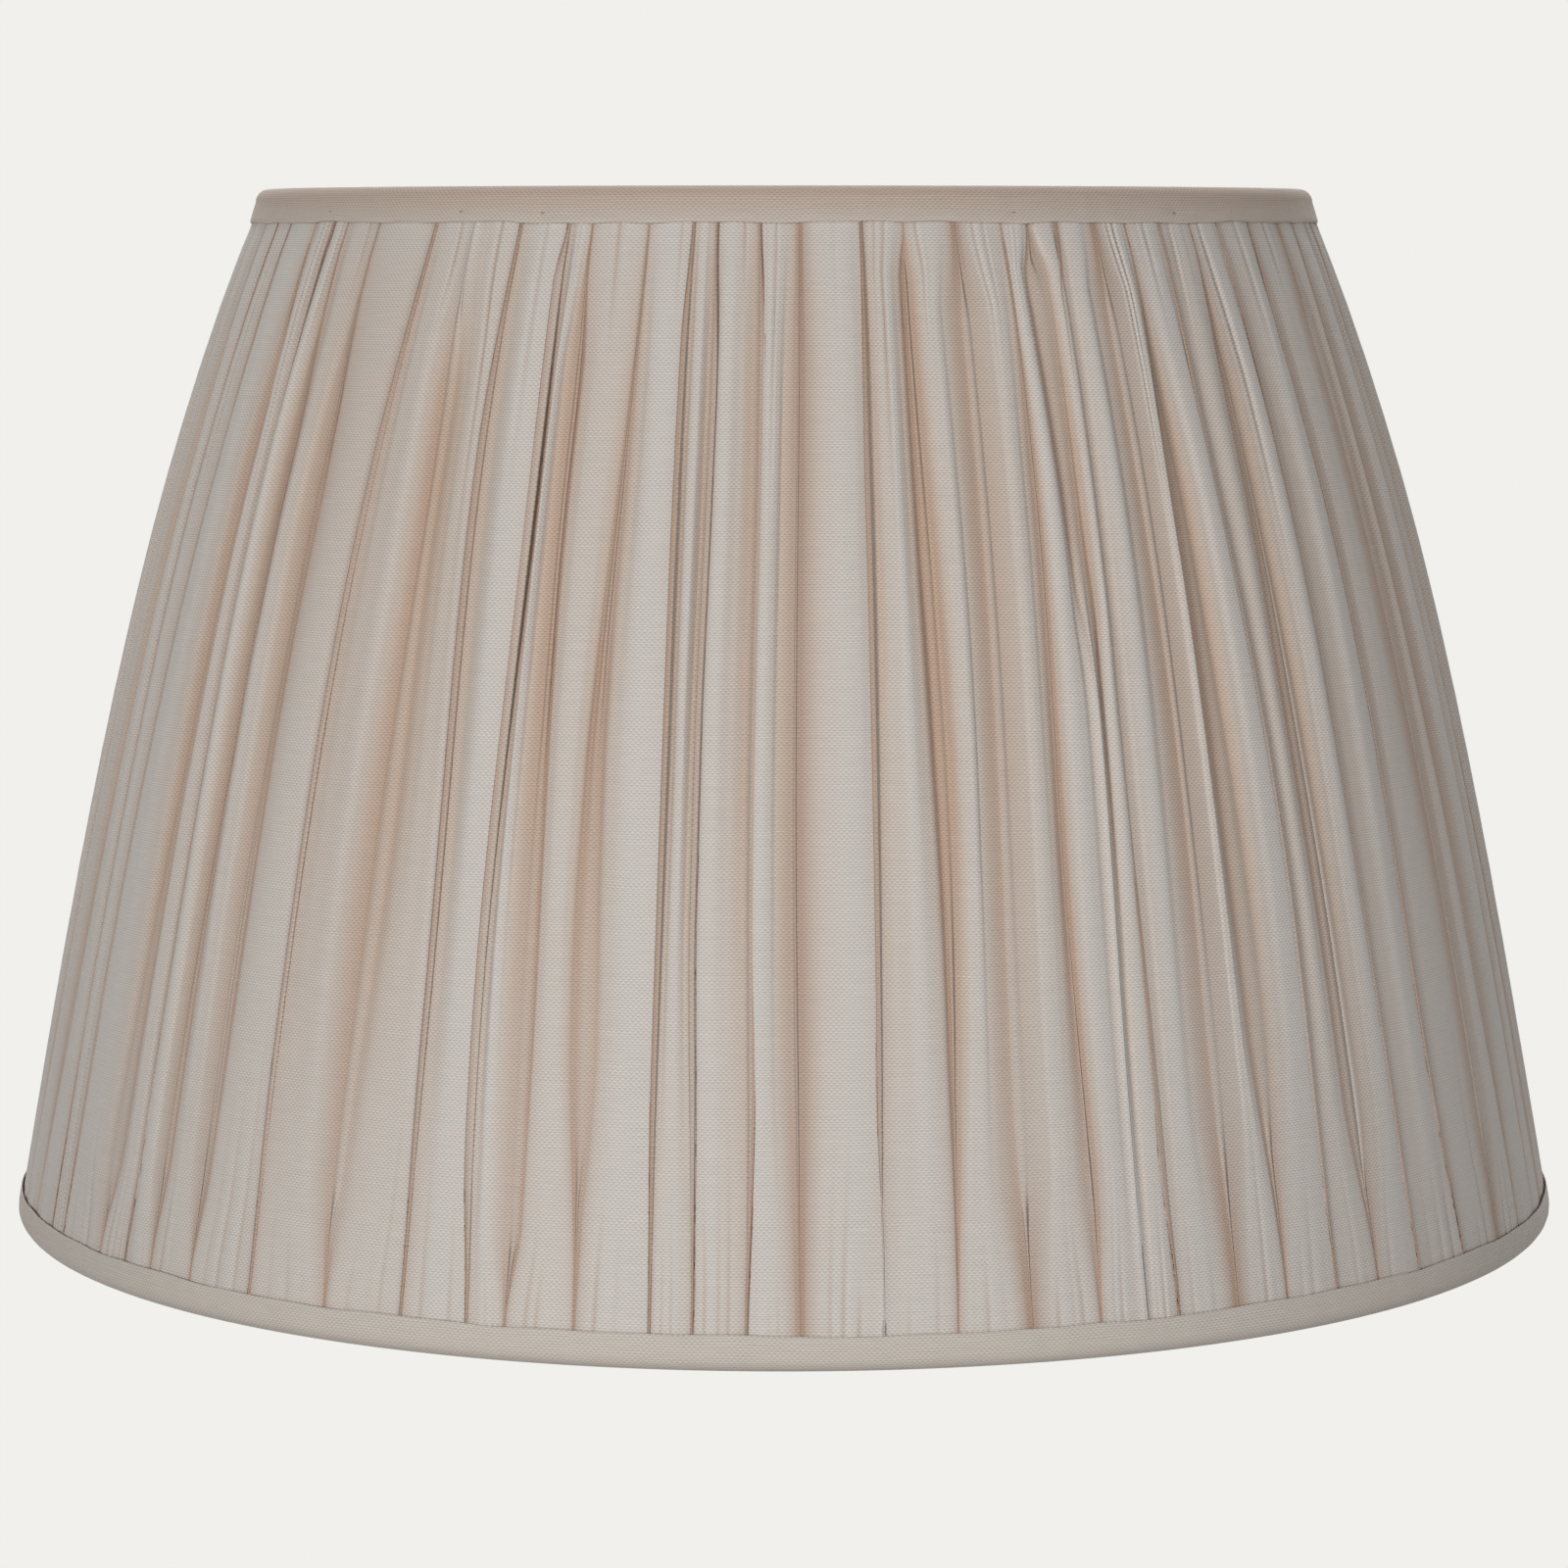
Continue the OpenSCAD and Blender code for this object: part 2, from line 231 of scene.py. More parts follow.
def colour(r, g, b):
    return (r, g, b, 1.0)


def woven(name, light, deep, shadow, slub_share):
    """Slubbed plain weave: staggered rows of small light dots in fine ribs, with a few thick threads.
    The colour is mixed towards a painted warm shade where the cloth lies deep in a fold, and towards a darker
    painted shadow in its creases and puckers."""
    f = Finish(name, Roughness=0.72, Sheen_Weight=0.15, Sheen_Roughness=0.4)
    f.shader.inputs["Specular IOR Level"].default_value = 0.35
    across, up = f.cloth_uv()
    wobble = f.noise(f.join(f.math("MULTIPLY", across, 0.06), f.math("MULTIPLY", up, 0.5)), 1.0, 3.0)
    loose = f.math("MULTIPLY_ADD", wobble, 0.5, up)
    dots = f.math("MULTIPLY", f.wave(across, 2 * DOT_ACROSS), f.wave(loose, 2 * DOT_ROW))
    ribs = f.wave(loose, DOT_ROW)
    weave = f.math("MULTIPLY_ADD", dots, 0.55, f.math("MULTIPLY", ribs, 0.45))
    thread = f.noise(f.join(f.math("MULTIPLY", across, 0.1), f.math("MULTIPLY", up, 1.5)), 1.0, 2.0)
    column, row = f.math("DIVIDE", across, SLUB_LONG), f.math("DIVIDE", loose, DOT_ROW)
    cell = f.join(f.math("FLOOR", column), f.math("FLOOR", row))
    chance = f.node("ShaderNodeTexWhiteNoise", Vector=cell).outputs["Value"]
    chosen = f.math("GREATER_THAN", chance, 1 - slub_share)
    swell = f.math("MULTIPLY", f.math("PINGPONG", column, 0.5), f.math("PINGPONG", row, 0.5))
    slub = f.math("MULTIPLY", chosen, f.math("MINIMUM", f.math("MULTIPLY", swell, 8.0), 1.0))
    # Painted shade: the cloth's own tone turns to the painted valley shade with fold depth, then to the
    # painted crease shadow.
    tone = f.mix(f.attribute("painted_fold_shade"), colour(*light), colour(*deep))
    tone = f.mix(f.attribute("painted_crease_shade"), tone, colour(*shadow))
    shade = f.math("MULTIPLY_ADD", weave, 0.27, 0.98)
    shade = f.math("MULTIPLY_ADD", f.math("SUBTRACT", thread, 0.5), 0.16, shade)
    shade = f.math("MULTIPLY_ADD", slub, 0.16, shade)
    f.put(f.shader.inputs["Base Color"], f.mix(1.0, tone, f.join(shade, shade, shade), "MULTIPLY"))
    f.bump(f.math("MULTIPLY_ADD", slub, 4.0, weave), 0.06, 0.6)
    return f.material


DOT_ACROSS, DOT_ROW, SLUB_LONG = 0.72, 0.67, 9.0
# The cloth's own tone on the crests, the painted warm shade for deep valleys and the painted shadow for
# creases.
CREST_TONE, PAINTED_VALLEY_TONE, PAINTED_SHADOW_TONE = (0.615, 0.582, 0.548), (0.54, 0.41, 0.32), (0.41, 0.262, 0.182)
cover_cloth = woven("oyster_slub_cloth", CREST_TONE, PAINTED_VALLEY_TONE, PAINTED_SHADOW_TONE, 0.0026)
# The trims are the cover's cloth, given a darker tone here as painted shade.
trim_cloth = woven("oyster_trim_cloth_painted_darker", (0.57, 0.525, 0.475), PAINTED_VALLEY_TONE, PAINTED_SHADOW_TONE, 0.0008)

# ------------------------------------------------------------------ the gathered cover

FOLDS = 80
PANELS = ("cover_right", "cover_back", "cover_left", "cover_front")
FOLDS_EACH = FOLDS // len(PANELS)
FIRST_JOIN = -math.pi / 4
CLOTH_T = 0.3
CORNER_STEPS = (0.0, 1 / 3, 2 / 3, 1.0)
PUCKERS = (0.27, 0.5, 0.73)
TUCKED, OPEN, DIPPED = 0, 1, 2
KIND_SHARES = (0.24, 0.62, 0.14)
COVER_SEED = 20

# Ranges that each valley's sizes are drawn from, in millimetres
TOP_REACH, BOTTOM_REACH = (14, 90), (26, 80)
HALF_GAP, GAP_SPREAD, GAP_LIMITS = 3.7, 0.42, (1.2, 6.4)
EASY_WALL = (1.4, 4.4)
TUCK_UNDER = (1.0, 3.0)
FOLD_LIFE = (60, 230)
# Depths as shares of the cover's room, and the steep wall's foot as a share of the half gap
VALLEY_DEPTH, TUCK_STEP, STEEP_FOOT = (0.72, 1.0), (0.12, 0.28), (-0.65, -0.05)
# How far the puckers reach from each trim, in millimetres, and how much that varies
TOP_PUCKER, BOTTOM_PUCKER = (24, 0.6), (18, 0.45)
# A pucker's half width in millimetres, and its limit as a share of the crest
PUCKER_HALF, PUCKER_LIMIT = 1.0, 0.055

wall_heights, wall_inner, wall_outer = wall_of("cover_front", FRONT)
cover_low, cover_high = wall_heights[0], wall_heights[-1]
rows_z = np.concatenate([
    np.linspace(cover_low, bottom_trim_edge + 34, 21)[:-1],
    np.linspace(bottom_trim_edge + 34, top_trim_edge - 44, 38)[:-1],
    np.linspace(top_trim_edge - 44, cover_high, 23)])
ROWS = len(rows_z)
share = (rows_z - cover_low) / (cover_high - cover_low)
crest_r = np.interp(rows_z, wall_heights, wall_outer)
room = crest_r - np.interp(rows_z, wall_heights, wall_inner) - CLOTH_T - 0.1
below_top = np.maximum(top_trim_edge - rows_z, 0)
above_bottom = np.maximum(rows_z - bottom_trim_edge, 0)


def following(values, around=0.0):
    """For each fold, the value of the next one, with the way round added where the ring closes."""
    moved = np.roll(values, -1, axis=0)
    moved[-1] = moved[-1] + around
    return moved


def valley_angles(rng):
    """Angle of each valley at each height, with the panels' joins held on their struts."""
    width = np.exp(rng.normal(0, 0.26, FOLDS)).reshape(len(PANELS), FOLDS_EACH)
    width = (width / width.sum(axis=1, keepdims=True)).ravel() * TURN / len(PANELS)
    angle = FIRST_JOIN + np.concatenate([[0], np.cumsum(width)[:-1]])
    sway = 0.15 * wander(rng, FOLDS, share, 1.3) * np.minimum(width, np.roll(width, 1))[:, None]
    sway[::FOLDS_EACH] = 0
    return angle[:, None] + sway


def valley_shapes(rng):
    """The cloth's four turning points at each valley: the end of the crest before it, its two floor corners
    and the start of the crest after it. Gives places sideways in millimetres, how far the two crests drop
    towards the valley and how deep the floor lies, as shares of the room."""
    n = (FOLDS, 1)
    narrow = crest_r / crest_r.mean()
    kind = rng.choice(3, FOLDS, p=KIND_SHARES)
    leans_left = rng.uniform(size=FOLDS) < 0.5
    follows = rng.uniform(size=FOLDS) < 0.5
    for i in range(1, FOLDS):
        if follows[i]:
            leans_left[i] = leans_left[i - 1]
    top_reach = rng.uniform(*TOP_REACH, n)
    bottom_reach = rng.uniform(*BOTTOM_REACH, n)
    opened = 0.1 + 0.9 * smooth(below_top / top_reach)
    opened = opened * (0.12 + 0.88 * smooth(above_bottom / bottom_reach))
    gap = np.clip(rng.lognormal(math.log(HALF_GAP), GAP_SPREAD, n), *GAP_LIMITS)
    gap = gap * opened * narrow * (1 + 0.3 * wander(rng, FOLDS, share, 1.5))
    deep = rng.uniform(*VALLEY_DEPTH, n) * (1 + 0.06 * wander(rng, FOLDS, share, 2.0))
    deep = np.minimum(deep, (0.25 + 1.1 * gap) / room)
    foot = rng.uniform(*STEEP_FOOT, n) * gap * (1 + 0.2 * wander(rng, FOLDS, share, 1.5))
    slope = np.minimum(rng.uniform(*EASY_WALL, n) * narrow, 0.95 * gap)
    low = rng.uniform(*TUCK_STEP, n) * (1 + 0.1 * wander(rng, FOLDS, share, 2.0))
    tuck = 0.4 + rng.uniform(*TUCK_UNDER, n) * opened
    none = np.zeros((FOLDS, ROWS))
    tucked = (np.stack([none - 0.4, tuck, tuck - 0.2, none]),
              np.stack([low, low + 0.25, 0.5 * low + 0.12, none]))
    opening = (np.stack([-gap, -gap + slope, gap + foot, gap]),
               np.stack([0.12 + none, deep, deep, none]))
    dipped = (np.stack([-gap - 2.2 * narrow, -0.4 * gap, 0.4 * gap, gap + 2.2 * narrow]),
              np.stack([0.1 + none, 0.6 * deep, 0.6 * deep, 0.1 + none]))
    places, levels = np.zeros((2, 4, FOLDS, ROWS))
    for which, (place, level) in ((TUCKED, tucked), (OPEN, opening), (DIPPED, dipped)):
        for turned in (False, True):
            mask = (kind == which) & (leans_left == turned)
            places[:, mask] = -place[::-1][:, mask] if turned else place[:, mask]
            levels[:, mask] = level[::-1][:, mask] if turned else level[:, mask]
    reach = rng.uniform(*FOLD_LIFE, n)
    chance = rng.uniform(size=n)
    life = np.where(chance < 0.14, 1 - smooth((below_top - reach) / 60), 1.0)
    life = np.where((chance > 0.14) & (chance < 0.26), 1 - smooth((above_bottom - reach) / 60), life)
    life[::FOLDS_EACH] = 1
    level_cloth = np.array([-1.5, -0.5, 0.5, 1.5])[:, None, None]
    places = level_cloth + (places - level_cloth) * life
    levels = 0.03 + (levels - 0.03) * life
    steep_first = leans_left[:, None]
    # Painted shade for each valley: dark on its steep side and across a narrow floor, faint on its easy side.
    shut = np.clip(1.1 - gap / 4.8, 0, 1)
    dark = (0.45 + 0.45 * shut) * life
    faint = (0.15 + 0.6 * shut) * life
    painted_shade_a, painted_shade_b = np.where(steep_first, dark, faint), np.where(steep_first, faint, dark)
    return places, levels, (painted_shade_a, (0.08 + 0.7 * shut) * life, painted_shade_b)


def rounded(before, corner, after, reach_in, reach_out):
    """Points of the cloth round one of its turning points."""
    a, b = before - corner, after - corner
    long_a = np.maximum(np.hypot(a[0], a[1]), 1e-6)
    long_b = np.maximum(np.hypot(b[0], b[1]), 1e-6)
    p = corner + a / long_a * np.minimum(reach_in, 0.45 * long_a)
    q = corner + b / long_b * np.minimum(reach_out, 0.45 * long_b)
    return [(1 - t) ** 2 * p + 2 * t * (1 - t) * corner + t * t * q for t in CORNER_STEPS]


def crest_points(rng, start, end, crest, bulge, drop_start, drop_end):
    """The softly rounded top of each fold, with the puckers that the two trims draw into it."""
    n = (FOLDS, 1)
    flat_a, flat_b = rng.uniform(0.1, 0.5, (2, FOLDS, 1))
    fall_a, fall_b = rng.uniform(0.18, 0.42, (2, FOLDS, 1))
    long = np.maximum(end[0] - start[0], 0.5)

    def on_crest(f, groove=0.0):
        depth = crest + bulge * (2 * f - 1) ** 2 + groove
        depth = depth + drop_start * (1 - smooth((f - flat_a) / fall_a))
        depth = depth + drop_end * smooth((f - 1 + flat_b + fall_b) / fall_b)
        return np.stack([start[0] + (end[0] - start[0]) * f, depth])

    places, halves, grooves = [], [], []
    for centre in PUCKERS:
        top_reach = rng.lognormal(math.log(TOP_PUCKER[0]), TOP_PUCKER[1], n)
        bottom_reach = rng.lognormal(math.log(BOTTOM_PUCKER[0]), BOTTOM_PUCKER[1], n)
        top_size = rng.uniform(-1.3, 1.0, n).clip(0)
        bottom_size = rng.uniform(-0.1, 1.15, n).clip(0)
        top_pull = np.exp(-(below_top / top_reach) ** 2)
        bottom_pull = np.exp(-(above_bottom / bottom_reach) ** 2)
        places.append(centre + rng.uniform(-0.035, 0.035, n) + 0.01 * wander(rng, FOLDS, share, 2.0))
        half = PUCKER_HALF + 1.6 * smooth(below_top / top_reach) * top_pull
        halves.append(np.minimum(half / long, PUCKER_LIMIT))
        grooves.append((0.45 * top_size * top_pull + 0.32 * bottom_size * bottom_pull) * room)
    points, painted_shades = [], []
    level = np.zeros((FOLDS, ROWS))
    for k, (place, half, groove) in enumerate(zip(places, halves, grooves)):
        points += [on_crest(place - half), on_crest(place, groove), on_crest(place + half)]
        # Each pucker's groove gets painted shade by its depth.
        painted_shades += [level, np.clip(1.1 * groove / room, 0, 0.8), level]
        if k + 1 < len(PUCKERS):
            points.append(on_crest((place + half + places[k + 1] - halves[k + 1]) / 2, -0.3 * groove))
            painted_shades.append(level)
    return points, painted_shades


def cloth_path(rng):
    """The cover's cloth all round: places sideways and depths, by fold, column in the fold and height."""
    valley = valley_angles(rng) * crest_r
    places, levels, painted_shading = valley_shapes(rng)
    around = TURN * crest_r
    pitch = following(valley, around) - valley
    limit = 0.42 * np.minimum(pitch, np.roll(pitch, 1, axis=0))
    places = np.clip(places, -limit, limit)
    set_back = np.where(rng.uniform(size=(FOLDS, 1)) < 0.2, 0.2, 0.03)
    crest = set_back * room * (1 + 0.5 * wander(rng, FOLDS, share, 1.5)) + 0.05
    bulge = rng.uniform(0.5, 1.4, (FOLDS, 1)) * room * 4.2 / pitch
    drop_before, drop_after = levels[0] * room, levels[3] * room
    end = np.stack([valley + places[0], np.roll(crest + bulge, 1, axis=0) + drop_before])
    start = np.stack([valley + places[3], crest + bulge + drop_after])
    floor_a = np.stack([valley + places[1], levels[1] * room])
    floor_b = np.stack([valley + places[2], levels[2] * room])
    middle = (floor_a + floor_b) / 2
    raised = np.clip(places[2] - places[1], 0, 6) / 6 * 0.16 * room
    middle[1] -= raised

    def after(values):
        return np.stack([following(values[0], around), following(values[1])])

    next_end, next_a, next_b, next_middle = after(end), after(floor_a), after(floor_b), after(middle)
    crisp = np.minimum(rng.uniform(0.9, 4.0, (2, FOLDS, 1)), 0.14 * np.maximum(next_end[0] - start[0], 0.5))
    columns = [middle, (middle + floor_b) / 2]
    columns += rounded(floor_a, floor_b, start, 0.8, 0.8)
    columns += rounded(floor_b, start, next_end, 1.3, crisp[0])
    crest_columns, crest_painted_shades = crest_points(rng, start, next_end, crest, bulge, drop_after,
                                                following(drop_before))
    columns += crest_columns
    columns += rounded(start, next_end, next_a, crisp[1], 1.3)
    columns += rounded(next_end, next_a, next_b, 0.8, 0.8)
    columns += [(next_a + next_middle) / 2, next_middle]
    path = np.stack(columns, axis=2)
    path[1] = np.clip(path[1], 0.03, (room + 0.08)[None, None, :])
    # Painted shade for each column of the path: strongest in the floor corners, fading up the crest edges,
    # none on the crests.
    level = np.zeros((FOLDS, ROWS))
    painted_shade_a, painted_shade_floor, painted_shade_b = painted_shading
    next_painted_shade = following(painted_shade_a)
    next_painted_floor_shade = following(painted_shade_floor)
    painted_shades = [painted_shade_floor, (painted_shade_floor + painted_shade_b) / 2] + [painted_shade_b] * 4
    painted_shades += [0.6 * painted_shade_b, 0.4 * painted_shade_b, 0.2 * painted_shade_b, level] + crest_painted_shades
    painted_shades += [level, 0.2 * next_painted_shade, 0.4 * next_painted_shade, 0.6 * next_painted_shade] + [next_painted_shade] * 4
    painted_shades += [(next_painted_floor_shade + next_painted_shade) / 2, next_painted_floor_shade]
    return path, np.stack(painted_shades, axis=1)


def build_cover():
    """The four panels of gathered cloth, each from one valley on a bound strut to the next."""
    rng = np.random.default_rng(COVER_SEED)
    path, painted_crease_shade = cloth_path(rng)
    step = np.diff(path, axis=2)
    arc = np.concatenate([np.zeros((FOLDS, 1, ROWS)), np.cumsum(np.hypot(step[0], step[1]), axis=1)], axis=1)
    middle = path.shape[2] // 2
    along = arc - arc[:, middle:middle + 1]
    pitch = np.mean(arc[:, -1])
    slant = np.concatenate([[0], np.cumsum(np.hypot(np.diff(crest_r), np.diff(rows_z)))])
    radius = crest_r - path[1]
    angle = path[0] / crest_r
    points = np.stack([radius * np.cos(angle), radius * np.sin(angle),
                       np.broadcast_to(rows_z, radius.shape)], axis=-1)
    # Painted shade: each point's depth in its fold, as a share of the room, sets how far its colour turns to
    # the painted valley shade.
    depth = np.clip(path[1] / (0.4 * room + 0.4 * room.max()), 0, 1)
    for k, name in enumerate(PANELS):
        mine = range(k * FOLDS_EACH, (k + 1) * FOLDS_EACH)
        body = np.concatenate([points[i, :-1] for i in mine] + [points[mine[-1], -1:]]).transpose(1, 0, 2)
        left = np.concatenate([i * pitch + along[i, :-1] for i in mine] + [0 * along[0, -1:]]).T
        right = np.concatenate([i * pitch + along[i, 1:] for i in mine] + [0 * along[0, -1:]]).T
        deep = np.concatenate([depth[i, :-1] for i in mine] + [depth[mine[-1], -1:]]).T
        up = np.broadcast_to(slant[:, None], deep.shape)
        mesh = sheet_mesh(name + "_cloth", body, np.stack([left, right], axis=-1), up)
        paint(mesh, "painted_fold_shade", deep)
        paint(mesh, "painted_crease_shade", np.concatenate([painted_crease_shade[i, :-1] for i in mine] + [painted_crease_shade[mine[-1], -1:]]).T)
        piece = add_piece("gathered_" + name, mesh, cover_cloth, CLOTH_T)
        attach(piece, "shade")
        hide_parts(name)


# ------------------------------------------------------------------ the folded trims


def trim_section(node, at_top):
    """The trim's path in radius and height: turned-under ply, outer leg, bend over the ring, inner leg."""
    tree = node_tree_of(node)
    low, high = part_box(node)
    ring_z = top_z if at_top else bottom_z
    edge = top_trim_edge if at_top else bottom_trim_edge
    outer = radius_seen(tree, FRONT, ring_z, False)
    inner = radius_seen(tree, FRONT, ring_z, True)
    bend_r = (outer - inner) / 2
    middle_r = (outer + inner) / 2
    middle_z = high[2] / MM - bend_r if at_top else low[2] / MM + bend_r
    way = 1 if at_top else -1
    leg_z = np.linspace(edge + way * 0.15, middle_z, 9)
    leg_r = np.array([radius_seen(tree, FRONT, z, False) for z in leg_z])
    under = [(leg_r[k] - TRIM_PLY, leg_z[k]) for k in (4, 2, 1, 0)]
    turned = [(leg_r[0] - TRIM_PLY * 0.85, edge + way * 0.03),
              (leg_r[0] - TRIM_PLY * 0.35, edge - way * 0.05)]
    leg = list(zip(leg_r, leg_z))
    bend = [(middle_r + bend_r * math.cos(a), middle_z + way * bend_r * math.sin(a))
            for a in np.linspace(0, math.pi, 14)[1:]]
    inner_end = radius_seen(tree, FRONT, ring_z - way * 2, True)
    drop = [(inner + (inner_end - inner) * k / 2, middle_z - way * k) for k in (1, 2)]
    return np.array(under + turned + leg + bend + drop), way


TRIM_PLY, TRIM_LAP, TRIM_COLUMNS, TRIM_CLOTH_T = 0.36, 14, 1300, 0.3


def build_trim(node, at_top, seed):
    """A strip of the cover's cloth folded over the ring, its turned edge a little wavy, lapped behind."""
    section, way = trim_section(node, at_top)
    rng = np.random.default_rng(seed)
    lap = TRIM_LAP / section[:, 0].max()
    count = TRIM_COLUMNS
    angle = math.pi / 2 + np.linspace(0, TURN + lap, count)
    lapped = smooth((angle - angle[0] - TURN + lap * 0.08) / (lap * 0.08))
    turns = np.zeros(count)
    puffs = np.zeros(count)
    for cycles, size in ((7, 0.16), (17, 0.14), (31, 0.12), (58, 0.1)):
        turns += size * np.cos(cycles * angle + rng.uniform(0, TURN))
    for cycles, size in ((80, 0.1), (113, 0.09), (151, 0.07), (203, 0.05)):
        puffs += size * np.cos(cycles * angle + rng.uniform(0, TURN) + np.cos(5 * angle))
    rows = len(section)
    steps = np.hypot(*np.diff(section, axis=0).T)
    along = np.concatenate([[0], np.cumsum(steps)])
    edge_row = 5
    from_edge = np.abs(along - along[edge_row])
    wave = np.exp(-(from_edge / 5.0) ** 2)
    bulge = np.sin(np.clip(from_edge / 9.0, 0, 1) * math.pi) * (np.arange(rows) >= edge_row)
    radius = section[:, :1] + 0.12 * wave[:, None] * puffs + 0.22 * bulge[:, None] * puffs + 0.5 * lapped
    height = section[:, 1:] - way * wave[:, None] * turns
    points = np.stack([radius * np.cos(angle), radius * np.sin(angle), height * np.ones(count)], axis=-1)
    if at_top:
        u = (angle - angle[0]) * top_r
    else:
        u = (angle - angle[0]) * bottom_r
    u = np.broadcast_to(u, (rows, count))
    right = np.concatenate([u[:, 1:], u[:, -1:]], axis=1)
    mesh = sheet_mesh(node + "_cloth", points, np.stack([u, right], axis=-1),
                      np.broadcast_to(along[:, None], (rows, count)), flip=not at_top)
    # Painted shade: the turned-under ply gets the full valley shade, and the trim darkens away from its
    # folded edge, the top trim most.
    hidden = (np.arange(rows) < edge_row).astype(float)
    paint(mesh, "painted_fold_shade", np.broadcast_to(hidden[:, None], (rows, count)))
    painted_trim_shade = (0.22 + 0.3 * smooth(from_edge / 8.0)) * (1 if at_top else 0.15)
    paint(mesh, "painted_crease_shade", np.broadcast_to(painted_trim_shade[:, None], (rows, count)))
    piece = add_piece("folded_" + node, mesh, trim_cloth, TRIM_CLOTH_T)
    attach(piece, "shade")
    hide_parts(node)


# ------------------------------------------------------------------ the taut lining

LINING_T, LINING_COLUMNS = 0.3, 541
HANGER_SLIT, SIDE_SEAM = 2.4, 0.12


def lining_section():
    """The lining's path: over the bottom ring, straight up inside the struts and over the top ring."""
    low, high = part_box("lining_front")
    bend_r = bottom_z - low[2] / MM - 0.02
    lean = math.atan2(bottom_r - top_r, top_z - bottom_z)
    turn = np.linspace(lean, lean - math.pi, 12)
    bottom = [(bottom_r + bend_r * math.cos(a), bottom_z + bend_r * math.sin(a)) for a in turn]
    top = [(top_r + bend_r * math.cos(a), top_z + bend_r * math.sin(a))
           for a in np.linspace(lean + math.pi, lean, 12)]
    start, end = np.array(bottom[-1]), np.array(top[0])
    straight = [tuple(start + (end - start) * k / 60) for k in range(1, 60)]
    return np.array(bottom + straight + top)


def build_lining(node, first_angle, seed):
    """Half of the lining, pulled taut between the rings with faint drag lines, seamed at both sides."""
    section = lining_section()
    rng = np.random.default_rng(seed)
    count = LINING_COLUMNS
    around = np.linspace(0, 1, count)
    along = np.concatenate([[0], np.cumsum(np.hypot(*np.diff(section, axis=0).T))])
    up = (section[:, 1] - bottom_z) / (top_z - bottom_z)
    slot = HANGER_SLIT / section[:, 0] * smooth((section[:, 1] - (top_z - 14)) / 6)
    seam = SIDE_SEAM / section[:, 0]
    inset = (slot + seam)[:, None]
    angle = first_angle + inset + around * (math.pi - 2 * inset)
    drag = np.zeros((len(section), count))
    for cycles in range(9, 70, 6):
        phase = rng.uniform(0, TURN)
        end = np.exp(-(up / 0.09) ** 2) + np.exp(-((1 - up) / 0.1) ** 2)
        drag += rng.uniform(0.02, 0.07) * end[:, None] * np.cos(cycles * math.pi * around + phase)
    strut = np.abs(np.sin(STRUT_COUNT / 2 * angle))
    hollow = 0.35 * np.sin(math.pi * np.clip(up, 0, 1))[:, None] * strut
    seam_pull = 0.5 * np.exp(-(around * math.pi * bottom_r / 1.6) ** 2)
    seam_pull = seam_pull + seam_pull[::-1]
    body = ((up > 0.03) & (up < 0.97))[:, None]
    radius = section[:, :1] - (drag + hollow + seam_pull[None, :]) * body
    points = np.stack([radius * np.cos(angle), radius * np.sin(angle),
                       np.broadcast_to(section[:, 1:], radius.shape)], axis=-1)
    u = (angle - first_angle) * bottom_r
    right = np.concatenate([u[:, 1:], u[:, -1:]], axis=1)
    mesh = sheet_mesh(node + "_cloth", points, np.stack([u, right], axis=-1),
                      np.broadcast_to(along[:, None], u.shape), flip=True)
    piece = add_piece("taut_" + node, mesh, lining_cloth, LINING_T)
    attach(piece, "shade")
    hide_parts(node)


def satin(name, base):
    """Fine, smooth lining cloth with a faint sheen and closely set threads."""
    f = Finish(name, Roughness=0.6, Sheen_Weight=0.2, Sheen_Roughness=0.35)
    across, up = f.cloth_uv()
    threads = f.math("MULTIPLY", f.wave(across, 0.5), f.wave(up, 0.5))
    uneven = f.noise(f.join(f.math("MULTIPLY", across, 0.7), f.math("MULTIPLY", up, 0.05)), 1.0, 3.0)
    tone = f.math("MULTIPLY_ADD", f.math("SUBTRACT", uneven, 0.5), 0.10, 1.0)
    tone = f.math("MULTIPLY_ADD", threads, 0.02, tone)
    f.put(f.shader.inputs["Base Color"], f.mix(1.0, colour(*base), f.join(tone, tone, tone), "MULTIPLY"))
    f.bump(threads, 0.03, 0.5)
    return f.material


lining_cloth = satin("ivory_lining_cloth", (0.80, 0.76, 0.69))

# ------------------------------------------------------------------ wire, rivets and the other hard parts


def object_point(f, scale=(1, 1, 1)):
    """A finish's place on the object, in millimetres."""
    source = f.tree.nodes.new("ShaderNodeTexCoord")
    mapping = f.node("ShaderNodeMapping", Vector=source.outputs["Object"])
    mapping.inputs["Scale"].default_value = [s / MM for s in scale]
    return mapping.outputs[0]


def powder_coat(name, base):
    """Baked white powder on wire: fine orange peel, a little duller and darker in patches."""
    f = Finish(name, Roughness=0.42, Coat_Weight=0.15)
    place = object_point(f)
    peel = f.noise(place, 1.8, 2.0)
    patches = f.noise(place, 0.06, 3.0)
    tone = f.math("MULTIPLY_ADD", f.math("SUBTRACT", patches, 0.5), 0.12, 1.0)
    f.put(f.shader.inputs["Base Color"], f.mix(1.0, colour(*base), f.join(tone, tone, tone), "MULTIPLY"))
    f.put(f.shader.inputs["Roughness"], f.math("MULTIPLY_ADD", patches, 0.2, 0.32))
    f.bump(peel, 0.06, 0.35)
    return f.material


